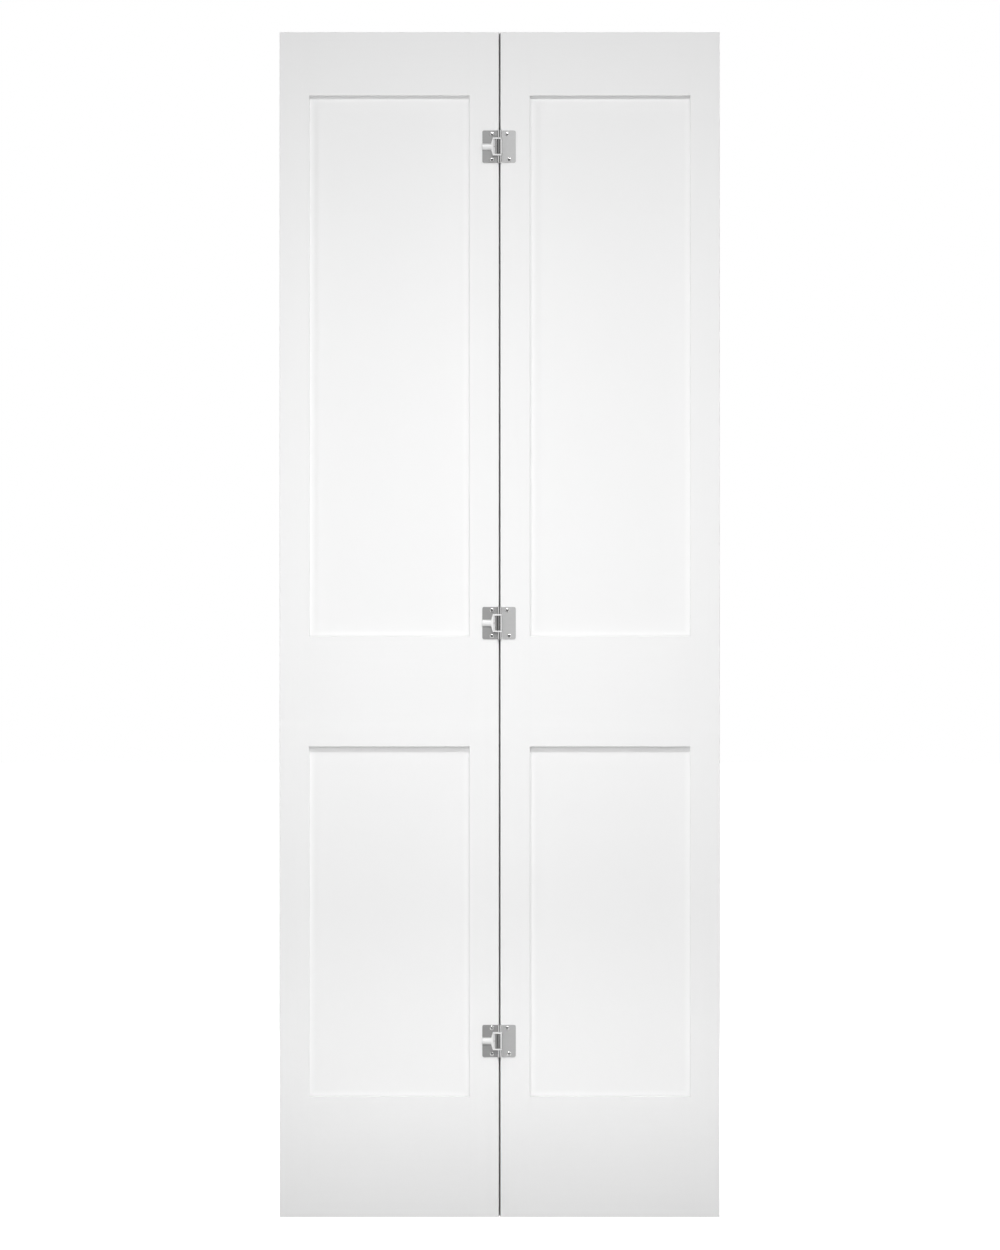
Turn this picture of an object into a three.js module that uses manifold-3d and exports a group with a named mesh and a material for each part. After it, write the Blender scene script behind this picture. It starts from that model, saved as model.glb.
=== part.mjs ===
// Bifold closet door: two stile-and-rail leaves with recessed flat panels, joined by three sprung
// surface hinges. Lengths are millimetres and angles are degrees. X runs along the closed door, Z is up,
// and the face that carries the hinges looks towards -Y. The origin is on the axis of the bottom pivot
// bore, at the door's foot.
import * as THREE from "three";
import { mergeVertices } from "three/addons/utils/BufferGeometryUtils.js";
import Module from "manifold-3d";

const wasm = await Module();
wasm.setup();

// Shared values

const contactGap = 0.0625; // film of glue or paint between two faces that touch
const overrun = 1; // how far a cutter runs past the face it cuts
const weldTolerance = 0.0001;
const roundSegments = 24;
const smallRoundSegments = 12;

// Helpers for solids

// A closed geometry as a solid that can be joined and cut.
function solidOf(geometry) {
  const bare = geometry.index ? geometry.toNonIndexed() : geometry.clone();
  bare.deleteAttribute("normal");
  bare.deleteAttribute("uv");
  const merged = mergeVertices(bare, weldTolerance);
  const vertProperties = merged.attributes.position.array;
  const triVerts = new Uint32Array(merged.index.array);
  return new wasm.Manifold(new wasm.Mesh({ numProp: 3, vertProperties, triVerts }));
}

// A joined or cut solid as a geometry with flat normals.
function geometryOf(solid) {
  const mesh = solid.getMesh();
  const indexed = new THREE.BufferGeometry();
  indexed.setAttribute("position", new THREE.BufferAttribute(new Float32Array(mesh.vertProperties), 3));
  indexed.setIndex(new THREE.BufferAttribute(mesh.triVerts, 1));
  const flat = indexed.toNonIndexed();
  flat.computeVertexNormals();
  return flat;
}

// The geometries joined into one solid, less the cutters.
function joinAndCut(joined, cutters) {
  const whole = joined.map(solidOf).reduce((a, b) => a.add(b));
  return geometryOf(cutters.map(solidOf).reduce((a, b) => a.subtract(b), whole));
}

// A box between two corners.
function block([x0, y0, z0], [x1, y1, z1]) {
  const box = new THREE.BoxGeometry(x1 - x0, y1 - y0, z1 - z0);
  return box.translate((x0 + x1) / 2, (y0 + y1) / 2, (z0 + z1) / 2);
}

// A round bar along Z from z0 to z1.
function barAlongZ(radius, z0, z1, segments) {
  const bar = new THREE.CylinderGeometry(radius, radius, z1 - z0, segments);
  return bar.rotateX(Math.PI / 2).translate(0, 0, (z0 + z1) / 2);
}

// A round bar along Y from y0 to y1.
function barAlongY(radius, y0, y1, segments) {
  return new THREE.CylinderGeometry(radius, radius, y1 - y0, segments).translate(0, (y0 + y1) / 2, 0);
}

// An outline drawn in x and y, as long as the depth along Z.
function extrudeZ(shape, depth) {
  return new THREE.ExtrudeGeometry(shape, { depth, bevelEnabled: false });
}

// An outline drawn in x and z, standing out from y = 0 towards -Y by the depth.
function extrudeTowardsViewer(shape, depth) {
  return extrudeZ(shape, depth).rotateX(Math.PI / 2);
}

// An outline drawn in y and z, as long as the depth along X.
function extrudeX(shape, depth) {
  return extrudeZ(shape, depth).rotateX(Math.PI / 2).rotateZ(Math.PI / 2);
}

function polygon(points) {
  return new THREE.Shape(points.map(([x, y]) => new THREE.Vector2(x, y)));
}

function radians(degrees) {
  return THREE.MathUtils.degToRad(degrees);
}

// Points on an arc, or on a spiral where the radius is a function of the angle in degrees.
function arcPoints(centreX, centreY, radius, fromAngle, toAngle, steps) {
  return Array.from({ length: steps + 1 }, (_, i) => {
    const angle = fromAngle + ((toAngle - fromAngle) * i) / steps;
    const reach = typeof radius === "function" ? radius(angle) : radius;
    return [centreX + reach * Math.cos(radians(angle)), centreY + reach * Math.sin(radians(angle))];
  });
}

function named(name, geometry, material) {
  const mesh = new THREE.Mesh(geometry, material);
  mesh.name = name;
  return mesh;
}

// Materials

const primedWhite = new THREE.MeshStandardMaterial({ color: 0xf0f0ee, roughness: 0.55, metalness: 0 });
const satinNickel = new THREE.MeshStandardMaterial({ color: 0xb6b5b2, roughness: 0.35, metalness: 1 });
const pinSteel = new THREE.MeshStandardMaterial({ color: 0xc2c2c0, roughness: 0.25, metalness: 1 });
const blackenedSteel = new THREE.MeshStandardMaterial({ color: 0x4a4a4a, roughness: 0.45, metalness: 1 });
const springSteel = new THREE.MeshStandardMaterial({ color: 0x8e8e8c, roughness: 0.3, metalness: 1 });
const whiteAcetal = new THREE.MeshStandardMaterial({ color: 0xf2f1ec, roughness: 0.4, metalness: 0 });

// Leaves: driving sizes

const doorHeight = 2006.5;
const leafWidth = 371;
const leafThickness = 35;
const leafGap = 3; // between the leaves of the closed door, on the hinge side
const roomSideGap = 0.25; // the same on the other side, where the bevelled edges nearly close it
const stileWidth = 50;
const topRailHeight = 107.5;
const lockRailHeight = 187.5;
const bottomRailHeight = 204.5;
const upperOpeningHeight = 915;
const panelThickness = 12.5;
const outerEase = 1; // rounding of the leaf's upright edges
const sightEase = 0.75; // chamfer round each panel opening

// Groove round each opening, with the panel loose in it, and the rails' tenons in the stiles.
const grooveDepth = 12;
const grooveClearance = 0.125; // each side of a panel or tenon
const panelFloat = 1; // left free past the panel's edge
const tenonLength = 30;
const boreWeb = 8; // wood left between a pivot's bore and the nearest tenon
const tenonPocket = 0.5; // glue space past a tenon's end and edges

// Blind bores in the end grain of the outer stiles, for the pivots and the track guide.
const pivotBoreRadius = 4.75;
const pivotBoreDepth = 41;
const pivotInset = 19; // from the leaf's outer edge to the bore's axis

// Leaves: worked out

const openingWidth = leafWidth - 2 * stileWidth;
const lowerOpeningHeight =
  doorHeight - topRailHeight - upperOpeningHeight - lockRailHeight - bottomRailHeight;
const lockRailFoot = bottomRailHeight + lowerOpeningHeight;
const upperOpeningFoot = lockRailFoot + lockRailHeight;
const topRailFoot = upperOpeningFoot + upperOpeningHeight;
const grooveWidth = panelThickness + 2 * grooveClearance;
const tenonThickness = grooveWidth - 2 * grooveClearance;
const tenonShoulder = pivotBoreDepth + boreWeb; // how far a tenon stays in from the door's top and foot
const faceY = leafThickness / 2;
const meetingBevel = (leafGap - roomSideGap) / 2; // how far a meeting edge leans out over its thickness

const openings = [
  { foot: bottomRailHeight, height: lowerOpeningHeight },
  { foot: upperOpeningFoot, height: upperOpeningHeight },
];

// Each rail with the groove on each edge that faces a panel, and the z span of its tenons.
const rails = [
  {
    name: "bottom_rail",
    foot: 0,
    height: bottomRailHeight,
    grooveBelow: 0,
    grooveAbove: grooveDepth,
    tenonFrom: tenonShoulder,
    tenonTo: bottomRailHeight - grooveDepth,
  },
  {
    name: "lock_rail",
    foot: lockRailFoot,
    height: lockRailHeight,
    grooveBelow: grooveDepth,
    grooveAbove: grooveDepth,
    tenonFrom: grooveDepth,
    tenonTo: lockRailHeight - grooveDepth,
  },
  {
    name: "top_rail",
    foot: topRailFoot,
    height: topRailHeight,
    grooveBelow: grooveDepth,
    grooveAbove: 0,
    tenonFrom: grooveDepth,
    tenonTo: topRailHeight - tenonShoulder,
  },
];

// Hinges: driving sizes

// Heights of the three hinges.
const topHingeDrop = 194; // below the door's top
const middleHingeDrop = 1000.5;
const bottomHingeRise = 298.5; // above the door's foot

// Plates of rolled steel strip, screwed flat on the two leaves.
const plateThickness = 1.6;
const plateHeight = 54.5;
const springPlateReach = 29.25; // from the hinge's axis to the plate's far edge
const camPlateReach = 27.25;
const springPlateCornerRadius = 2.5;
const camPlateCornerRadius = 3;
const crankReach = 5; // where a plate starts to rise towards its knuckle
const curlEndAngle = 212;

// Pin and knuckles.
const pinRadius = 1.75;
const pinClearance = 0.15;
const pinHeadRadius = 2.6;
const pinHeadHeight = 0.75;
const pinTail = 0.5; // end below the lowest knuckle
const pinChamfer = 0.2;
const camKnuckleLength = 24.8;
const knuckleClearance = 0.25; // along the pin, on each side of an arm

// Snail cam round the middle knuckle. It rises evenly with the angle of the fold.
const camBaseRadius = 3.9;
const camRise = 0.8;
const camToLeaf = 0.7; // from the cam's base circle to the leaves' faces
const foldRange = 175;
const camCurlEndAngle = 200;

// Snap yoke: a moulded slide whose arms hook round the pin and whose stem holds the spring.
const yokeClearance = 0.1; // above the spring plate
const stemRadius = 5.75;
const stemWall = 1.35;
const headFlare = 2.75; // along the axis of the stem, where it widens into the head
const headDepth = 4; // from the end of the flare to the window
const headBevelRun = 3.3;
const headBevelDrop = 3.6;
const armWidth = 2.5;
const eyeRadius = 3.3;
const slotSpare = 0.1; // travel left in the arms' slots past the cam's rise
const guideHoleRadius = 0.85;

// Follower pin, carried between the yoke's arms.
const followerRadius = 1.6;
const followerGap = 0.1; // to the cam
const followerFit = 0.1;
const followerRoom = 0.3; // to the yoke's head

// Spring and the tab of the spring plate that it pushes against.
const tabInset = 1.95; // from the plate's far edge
const tabWidth = 4.5;
const tabClearance = 0.5; // to the crown of the yoke's hollow
const springSeatWall = 1.25; // of the yoke, behind the spring's inner end
const springClearance = 0.2; // to the hollow
const springWireRadius = 0.35;
const springEndGap = 0.1;
const springTurns = 7;
const springStepsPerTurn = 8;
const springSides = 5;

// Screws.
const screwInset = 5.5; // from a plate's upper or lower edge
const springPlateScrew = 13.1; // from the axis
const camPlateUpperScrew = 12.75;
const camPlateLowerScrew = 16;
const screwSlotTravel = 1.5; // each way, in the cam plate's lower hole
const screwHoleRadius = 2.15;
const screwShankRadius = 1.9;
const screwLength = 19; // below the head
const screwTipLength = 5;
const screwHeadRadius = 3.75;
const screwHeadHeight = 1.9;
const screwHeadRim = 0.6;
const screwDomeSteps = 3;
const recessSpan = 4.2;
const recessWidth = 0.9;
const recessDepth = 1.1;
const pilotClearance = 0.15;

// Hinges: worked out

const hingeHeights = {
  bottom: bottomHingeRise,
  middle: doorHeight - middleHingeDrop,
  top: doorHeight - topHingeDrop,
};
const axisHeight = camBaseRadius + camToLeaf; // of the hinge's axis above the leaves' faces
const knuckleBore = pinRadius + pinClearance;
const knuckleRadius = knuckleBore + plateThickness;
const armFrom = camKnuckleLength / 2 + knuckleClearance;
const armTo = armFrom + armWidth;
const knuckleFrom = armTo + knuckleClearance;
const camPlateNear = knuckleRadius + (crankReach - knuckleRadius) / 2;
const windowReach = crankReach + knuckleClearance;
const yokeFoot = plateThickness + yokeClearance;
const headTop = yokeFoot + stemRadius;
const followerDistance = camBaseRadius + followerGap + followerRadius;
const followerHoleRadius = followerRadius + followerFit;
const followerSeatDepth = armWidth / 2;
const headFront = followerDistance + followerRadius + followerRoom; // the head's edge at the window
const headBack = headFront + headDepth; // where the head has its full width
const headShoulder = headBack + headFlare; // where the stem starts to widen
const stemEnd = springPlateReach; // from the axis to the stem's open end
const slotTravel = camRise + slotSpare;
const cavityRadius = stemRadius - stemWall;
const springOuterRadius = cavityRadius / 2 - springClearance;
const springAxisHeight = yokeFoot + cavityRadius / 2;
const springSeatDistance = headShoulder + springSeatWall;
const tabDistance = springPlateReach - tabInset - plateThickness; // from the axis to the tab's face
const tabTop = yokeFoot + Math.sqrt(cavityRadius ** 2 - (tabWidth / 2) ** 2) - tabClearance;
const tabWindowLength = tabTop; // of the hole that the tab was bent up from
const screwHeight = plateHeight / 2 - screwInset; // above and below the hinge's middle

const screwPlaces = [
  { leaf: "pivot_leaf", level: "upper", x: -springPlateScrew, z: screwHeight },
  { leaf: "pivot_leaf", level: "lower", x: -springPlateScrew, z: -screwHeight },
  { leaf: "leading_leaf", level: "upper", x: camPlateUpperScrew, z: screwHeight },
  { leaf: "leading_leaf", level: "lower", x: camPlateLowerScrew, z: -screwHeight },
];

// Leaf pieces

// Chamfers on the sight edges of one opening, on both faces. Its middle is at x = 0.
function sightEdgeCutters({ foot, height }) {
  const wide = openingWidth + 2 * (sightEase + overrun);
  const tall = height + 2 * (sightEase + overrun);
  const deep = sightEase + overrun;
  return [-1, 1].map((side) => {
    const cutter = new THREE.BoxGeometry(wide, deep, tall);
    const place = cutter.attributes.position;
    for (let i = 0; i < place.count; i += 1) {
      if (place.getY(i) * side < 0) {
        place.setX(i, (place.getX(i) * openingWidth) / wide);
        place.setZ(i, (place.getZ(i) * height) / tall);
      }
    }
    return cutter.translate(0, side * (faceY - sightEase + deep / 2), foot + height / 2);
  });
}

// Section of a stile centred on x = 0, with its groove on the +X side. The other edge leans out by the
// bevel from the hinge side, -Y, to the room side, +Y, and both its corners are rounded.
function stileSection(bevel) {
  const outer = -stileWidth / 2;
  const inner = stileWidth / 2;
  const lean = Math.atan2(bevel, leafThickness);
  const leanAngle = 180 + THREE.MathUtils.radToDeg(lean);
  const roundedCentre = (y) =>
    outer + (outerEase - (y + faceY) * Math.sin(lean)) / Math.cos(lean);
  const hingeSideY = -faceY + outerEase;
  const roomSideY = faceY - outerEase;
  const steps = smallRoundSegments / 4;
  return [
    [inner, -faceY],
    [inner, -grooveWidth / 2],
    [inner - grooveDepth, -grooveWidth / 2],
    [inner - grooveDepth, grooveWidth / 2],
    [inner, grooveWidth / 2],
    [inner, faceY],
    ...arcPoints(roundedCentre(roomSideY), roomSideY, outerEase, 90, leanAngle, steps),
    ...arcPoints(roundedCentre(hingeSideY), hingeSideY, outerEase, leanAngle, 270, steps),
  ];
}

// A stile centred on x = 0. Its groove is on the side of the panels: +1 for +X or -1 for -X.
function stileGeometry(grooveSide, bevel, holes) {
  const inner = stileWidth / 2;
  const section = polygon(stileSection(bevel).map(([x, y]) => [grooveSide * x, y]));
  const mortiseMiddle = inner - (tenonLength + tenonPocket + grooveDepth - overrun) / 2;
  const mortiseDeep = tenonLength + tenonPocket - grooveDepth + overrun;
  const mortises = rails.map(({ foot, tenonFrom, tenonTo }) =>
    new THREE.BoxGeometry(mortiseDeep, grooveWidth, tenonTo - tenonFrom + 2 * tenonPocket).translate(
      grooveSide * mortiseMiddle,
      0,
      foot + (tenonFrom + tenonTo) / 2,
    ),
  );
  const sightEdges = openings
    .flatMap(sightEdgeCutters)
    .map((cutter) => cutter.translate(grooveSide * (inner + openingWidth / 2), 0, 0));
  return joinAndCut([extrudeZ(section, doorHeight)], [...mortises, ...sightEdges, ...holes]);
}

// A rail centred on x = 0 between the stiles, with its foot at z = 0.
function railGeometry({ foot, height, grooveBelow, grooveAbove, tenonFrom, tenonTo }) {
  const halfSpan = openingWidth / 2 - contactGap;
  const stubReach = openingWidth / 2 + grooveDepth - contactGap;
  const tenonReach = openingWidth / 2 + tenonLength;
  const body = block([-halfSpan, -faceY, 0], [halfSpan, faceY, height]);
  const stub = block(
    [-stubReach, -tenonThickness / 2, grooveBelow],
    [stubReach, tenonThickness / 2, height - grooveAbove],
  );
  const tenon = block(
    [-tenonReach, -tenonThickness / 2, tenonFrom],
    [tenonReach, tenonThickness / 2, tenonTo],
  );
  const grooves = [];
  if (grooveBelow) {
    grooves.push(
      block(
        [-stubReach - overrun, -grooveWidth / 2, -overrun],
        [stubReach + overrun, grooveWidth / 2, grooveBelow],
      ),
    );
  }
  if (grooveAbove) {
    grooves.push(
      block(
        [-stubReach - overrun, -grooveWidth / 2, height - grooveAbove],
        [stubReach + overrun, grooveWidth / 2, height + overrun],
      ),
    );
  }
  const sightEdges = openings.flatMap(sightEdgeCutters).map((cutter) => cutter.translate(0, 0, -foot));
  return joinAndCut([body, stub, tenon], [...grooves, ...sightEdges]);
}

// A flat panel centred on its opening, with its edges in the grooves.
function panelGeometry({ height }) {
  const tongue = grooveDepth - panelFloat;
  return new THREE.BoxGeometry(openingWidth + 2 * tongue, panelThickness, height + 2 * tongue);
}

// Blind bores from the stile's top and foot. The stile's middle is at x = 0.
function pivotBores(x, atTop, atFoot) {
  const bores = [];
  if (atFoot) bores.push(barAlongZ(pivotBoreRadius, -overrun, pivotBoreDepth, roundSegments));
  if (atTop) {
    bores.push(
      barAlongZ(pivotBoreRadius, doorHeight - pivotBoreDepth, doorHeight + overrun, roundSegments),
    );
  }
  return bores.map((bore) => bore.translate(x, 0, 0));
}

// Pilot holes for one leaf's hinge screws, in a stile whose middle lies off the hinge's axis by
// stileCentre.
function pilotHoles(leaf, stileCentre) {
  const radius = screwShankRadius + pilotClearance;
  const bottom = screwLength - plateThickness + pilotClearance - faceY;
  const places = screwPlaces.filter((place) => place.leaf === leaf);
  return Object.values(hingeHeights).flatMap((height) =>
    places.map(({ x, z }) => {
      const hole = barAlongY(radius, -faceY - overrun, bottom, smallRoundSegments);
      return hole.translate(x - stileCentre, 0, height + z);
    }),
  );
}

// One leaf. Its left edge is at x = 0, and hingeSide says which stile meets the other leaf: +1 is the
// right one and -1 the left one.
function makeLeaf(leaf, hingeSide, boreAtFoot) {
  const group = new THREE.Group();
  const hingeStileCentre = -hingeSide * (leafGap / 2 + stileWidth / 2);
  const boreX = -hingeSide * (stileWidth / 2 - pivotInset);
  const pilots = pilotHoles(leaf, hingeStileCentre);
  const bores = pivotBores(boreX, true, boreAtFoot);
  const stiles = [
    { name: "hinge_stile", side: hingeSide, bevel: meetingBevel, holes: pilots },
    { name: "outer_stile", side: -hingeSide, bevel: 0, holes: bores },
  ];
  for (const { name, side, bevel, holes } of stiles) {
    const stile = named(`${leaf}_${name}`, stileGeometry(-side, bevel, holes), primedWhite);
    stile.position.x = leafWidth / 2 + (side * (leafWidth - stileWidth)) / 2;
    group.add(stile);
  }
  for (const rail of rails) {
    const mesh = named(`${leaf}_${rail.name}`, railGeometry(rail), primedWhite);
    mesh.position.set(leafWidth / 2, 0, rail.foot);
    group.add(mesh);
  }
  openings.forEach((opening, i) => {
    const mesh = named(`${leaf}_${i ? "upper" : "lower"}_panel`, panelGeometry(opening), primedWhite);
    mesh.position.set(leafWidth / 2, 0, opening.foot + opening.height / 2);
    group.add(mesh);
  });
  return group;
}

// Hinge pieces
// In a hinge's own frame the axis stands at x = 0, the plates' backs are at y = 0, and z = 0 is its
// middle.

// Section of a rolled knuckle and the strip that leads to it, drawn in x and height above the plate's
// back. The strip comes from -X, passes under the pin and curls back over it. outerRadius may depend on
// the angle.
function knuckleSection(outerRadius, endAngle) {
  const distance = Math.hypot(crankReach, axisHeight);
  const towardsAxis = Math.atan2(axisHeight, crankReach);
  const crank = towardsAxis - Math.asin(knuckleRadius / distance);
  const startAngle = THREE.MathUtils.radToDeg(crank) - 90;
  const topStart = -crankReach - plateThickness * Math.tan(crank / 2);
  return [
    [topStart - plateThickness, 0],
    [-crankReach, 0],
    ...arcPoints(0, axisHeight, outerRadius, startAngle, endAngle, roundSegments),
    ...arcPoints(0, axisHeight, knuckleBore, endAngle, startAngle, roundSegments),
    [topStart, plateThickness],
    [topStart - plateThickness, plateThickness],
  ];
}

// The knuckle's solid between two heights. side is -1 where its plate lies towards -X, and 1 towards +X.
function knuckle(section, side, z0, z1) {
  const outline = polygon(section.map(([x, height]) => [-side * x, -height]));
  return extrudeZ(outline, z1 - z0).translate(0, 0, z0);
}

// A flat plate from x = near to x = far, with its two far corners rounded.
function plateOutline(near, far, cornerRadius) {
  const side = Math.sign(far);
  const half = plateHeight / 2;
  const corner = far - side * cornerRadius;
  const upper = arcPoints(0, 0, cornerRadius, 0, 90, smallRoundSegments / 3);
  const right = upper.map(([x, z]) => [corner + side * x, half - cornerRadius + z]);
  const left = right.map(([x, z]) => [x, -z]).reverse();
  return polygon([[near, -half], ...left, ...right, [near, half]]);
}

function screwHole(x, z) {
  const hole = barAlongY(screwHoleRadius, -plateThickness - overrun, overrun, smallRoundSegments);
  return hole.translate(x, 0, z);
}

// The plate on the pivot leaf: two knuckles, a gap for the cam between them, and the spring's tab.
function springPlateGeometry() {
  const flat = extrudeTowardsViewer(
    plateOutline(-crankReach, -springPlateReach, springPlateCornerRadius),
    plateThickness,
  );
  const section = knuckleSection(knuckleRadius, curlEndAngle);
  const tab = block(
    [-tabDistance - plateThickness, -tabTop, -tabWidth / 2],
    [-tabDistance, -plateThickness / 2, tabWidth / 2],
  );
  const camWindow = block(
    [-windowReach, -plateThickness - overrun, -knuckleFrom],
    [overrun, overrun, knuckleFrom],
  );
  const tabWindow = block(
    [-tabDistance, -plateThickness - overrun, -tabWidth / 2],
    [-tabDistance + tabWindowLength, overrun, tabWidth / 2],
  );
  const holes = [1, -1].map((end) => screwHole(-springPlateScrew, end * screwHeight));
  return joinAndCut(
    [
      flat,
      knuckle(section, -1, knuckleFrom, plateHeight / 2),
      knuckle(section, -1, -plateHeight / 2, -knuckleFrom),
      tab,
    ],
    [camWindow, tabWindow, ...holes],
  );
}

// The cam's radius at an angle of the knuckle's section: up to the base radius under the follower,
// then rising evenly over the fold's range.
function camRadius(angle) {
  if (angle < 0) {
    const rolled = THREE.MathUtils.clamp(-angle / 90, 0, 1);
    return THREE.MathUtils.lerp(camBaseRadius, knuckleRadius, rolled);
  }
  return camBaseRadius + camRise * Math.min(angle / foldRange, 1);
}

// The plate on the leading leaf: one long knuckle, shaped as the cam.
function camPlateGeometry() {
  const flat = extrudeTowardsViewer(
    plateOutline(camPlateNear, camPlateReach, camPlateCornerRadius),
    plateThickness,
  );
  const section = knuckleSection(camRadius, camCurlEndAngle);
  const slotEnds = [-1, 1].map((end) =>
    screwHole(camPlateLowerScrew + end * screwSlotTravel, -screwHeight),
  );
  const slotMiddle = block(
    [camPlateLowerScrew - screwSlotTravel, -plateThickness - overrun, -screwHeight - screwHoleRadius],
    [camPlateLowerScrew + screwSlotTravel, overrun, -screwHeight + screwHoleRadius],
  );
  return joinAndCut(
    [flat, knuckle(section, 1, -camKnuckleLength / 2, camKnuckleLength / 2)],
    [screwHole(camPlateUpperScrew, screwHeight), ...slotEnds, slotMiddle],
  );
}

// Hinge pin with its head at the top and a peened tail.
function hingePinGeometry() {
  const top = plateHeight / 2 + contactGap;
  const foot = -plateHeight / 2 - pinTail;
  const profile = [
    [0, foot],
    [pinRadius - pinChamfer, foot],
    [pinRadius, foot + pinChamfer],
    [pinRadius, top],
    [pinHeadRadius, top],
    [pinHeadRadius, top + pinHeadHeight / 2],
    [pinRadius, top + pinHeadHeight],
    [0, top + pinHeadHeight],
  ];
  const lathe = new THREE.LatheGeometry(
    profile.map(([r, z]) => new THREE.Vector2(r, z)),
    roundSegments,
  );
  return geometryOf(solidOf(lathe.rotateX(Math.PI / 2)));
}

// One of the yoke's arms, from the head to its eye round the pin.
function armGeometry(z0) {
  const eyeX = slotTravel / 2;
  const rise = Math.asin((headTop - axisHeight) / eyeRadius);
  const fall = Math.asin((axisHeight - yokeFoot) / eyeRadius);
  const from = 180 - THREE.MathUtils.radToDeg(rise);
  const to = THREE.MathUtils.radToDeg(fall) - 180;
  const outline = [
    [-headBack, yokeFoot],
    [-headBack, headTop],
    ...arcPoints(eyeX, axisHeight, eyeRadius, from, to, roundSegments),
  ];
  return extrudeZ(polygon(outline.map(([x, height]) => [x, -height])), armWidth).translate(0, 0, z0);
}

// The slot in an arm that lets the yoke slide along X past the pin.
function armSlotCutter() {
  const outline = [
    ...arcPoints(0, axisHeight, knuckleBore, 90, 270, smallRoundSegments),
    ...arcPoints(slotTravel, axisHeight, knuckleBore, -90, 90, smallRoundSegments),
  ];
  const deep = 2 * (armTo + overrun);
  return extrudeZ(polygon(outline.map(([x, height]) => [x, -height])), deep).translate(0, 0, -deep / 2);
}

// A half-round bar along X from x0 to x1, with its centre at the yoke's foot and straight sides below.
function halfRound(radius, sides, x0, x1) {
  const arc = arcPoints(0, 0, radius, 0, 180, roundSegments / 2);
  const outline = [[radius, -sides], ...arc, [-radius, -sides]];
  const section = polygon(outline.map(([z, height]) => [-height - yokeFoot, z]));
  return extrudeX(section, x1 - x0).translate(x0, 0, 0);
}

// The moulded yoke: hollow stem, T-shaped head and two arms.
function yokeGeometry() {
  const stem = halfRound(stemRadius, 0, -stemEnd, -headBack);
  const head = extrudeTowardsViewer(
    polygon([
      [-headShoulder, -stemRadius],
      [-headBack, -armTo],
      [-headFront, -armTo],
      [-headFront, armTo],
      [-headBack, armTo],
      [-headShoulder, stemRadius],
    ]),
    headTop - yokeFoot,
  ).translate(0, -yokeFoot, 0);
  const cavity = halfRound(cavityRadius, overrun, -stemEnd - overrun, -springSeatDistance);
  const bevel = extrudeZ(
    polygon([
      [-headFront - headBevelRun, -headTop],
      [-headFront - headBevelRun, -headTop - overrun],
      [-headFront + overrun, -headTop - overrun],
      [-headFront + overrun, -headTop + headBevelDrop],
      [-headFront, -headTop + headBevelDrop],
    ]),
    2 * armFrom,
  ).translate(0, 0, -armFrom);
  const followerSeats = barAlongZ(
    followerHoleRadius,
    -armFrom - followerSeatDepth,
    armFrom + followerSeatDepth,
    smallRoundSegments,
  ).translate(-followerDistance, -axisHeight, 0);
  const guideHole = barAlongY(guideHoleRadius, -headTop - overrun, -plateThickness, smallRoundSegments);
  guideHole.translate(-headFront - headBevelRun / 2, 0, 0);
  return joinAndCut(
    [stem, head, armGeometry(armFrom), armGeometry(-armTo)],
    [cavity, bevel, armSlotCutter(), followerSeats, guideHole],
  );
}

// The steel pin that the cam pushes on.
function followerGeometry() {
  const reach = armFrom + followerSeatDepth - followerFit;
  return barAlongZ(followerRadius, -reach, reach, smallRoundSegments);
}

// Centre line of the compression spring, along X, in its own frame.
class SpringLine extends THREE.Curve {
  constructor(radius, length, turns) {
    super();
    this.radius = radius;
    this.length = length;
    this.turns = turns;
  }

  getPoint(t, target = new THREE.Vector3()) {
    const angle = 2 * Math.PI * this.turns * t;
    return target.set(this.length * t, this.radius * Math.cos(angle), this.radius * Math.sin(angle));
  }
}

// Least clear distance between neighbouring turns, measured on points of the line.
function leastSpringGap(line) {
  const steps = springTurns * springStepsPerTurn;
  const points = Array.from({ length: steps + 1 }, (_, i) => line.getPoint(i / steps));
  let least = Infinity;
  for (let i = 0; i + springStepsPerTurn <= steps; i += 1) {
    for (let k = springStepsPerTurn / 2; i + k <= steps; k += 1) {
      least = Math.min(least, points[i].distanceTo(points[i + k]));
    }
  }
  return least - 2 * springWireRadius;
}

const springLine = new SpringLine(
  springOuterRadius - springWireRadius,
  tabDistance - springSeatDistance - 2 * (springEndGap + springWireRadius),
  springTurns,
);
console.log(`least gap between the spring's turns: ${leastSpringGap(springLine).toFixed(2)} mm`);

function springGeometry() {
  const wire = polygon(arcPoints(0, 0, springWireRadius, 0, 360, springSides).slice(1));
  return new THREE.ExtrudeGeometry(wire, {
    steps: springTurns * springStepsPerTurn,
    extrudePath: springLine,
    bevelEnabled: false,
  });
}

// Pan-head wood screw with a cross recess. Its axis is Y, and y = 0 is the plate's back.
function screwGeometry() {
  const under = -plateThickness - contactGap;
  const rim = under - screwHeadRim;
  const top = under - screwHeadHeight;
  const tip = screwLength - plateThickness;
  const dome = Array.from({ length: screwDomeSteps + 1 }, (_, i) => {
    const angle = radians((90 * i) / screwDomeSteps);
    return [screwHeadRadius * Math.sin(angle), rim + (top - rim) * Math.cos(angle)];
  });
  const profile = [
    ...dome,
    [screwHeadRadius, under],
    [screwShankRadius, under],
    [screwShankRadius, tip - screwTipLength],
    [0, tip],
  ];
  const lathe = new THREE.LatheGeometry(
    profile.map(([r, y]) => new THREE.Vector2(r, y)),
    smallRoundSegments,
  );
  const recess = [
    [recessSpan, recessWidth],
    [recessWidth, recessSpan],
  ].map(([wide, tall]) =>
    block([-wide / 2, top - overrun, -tall / 2], [wide / 2, top + recessDepth, tall / 2]),
  );
  return joinAndCut([lathe], recess);
}

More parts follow.
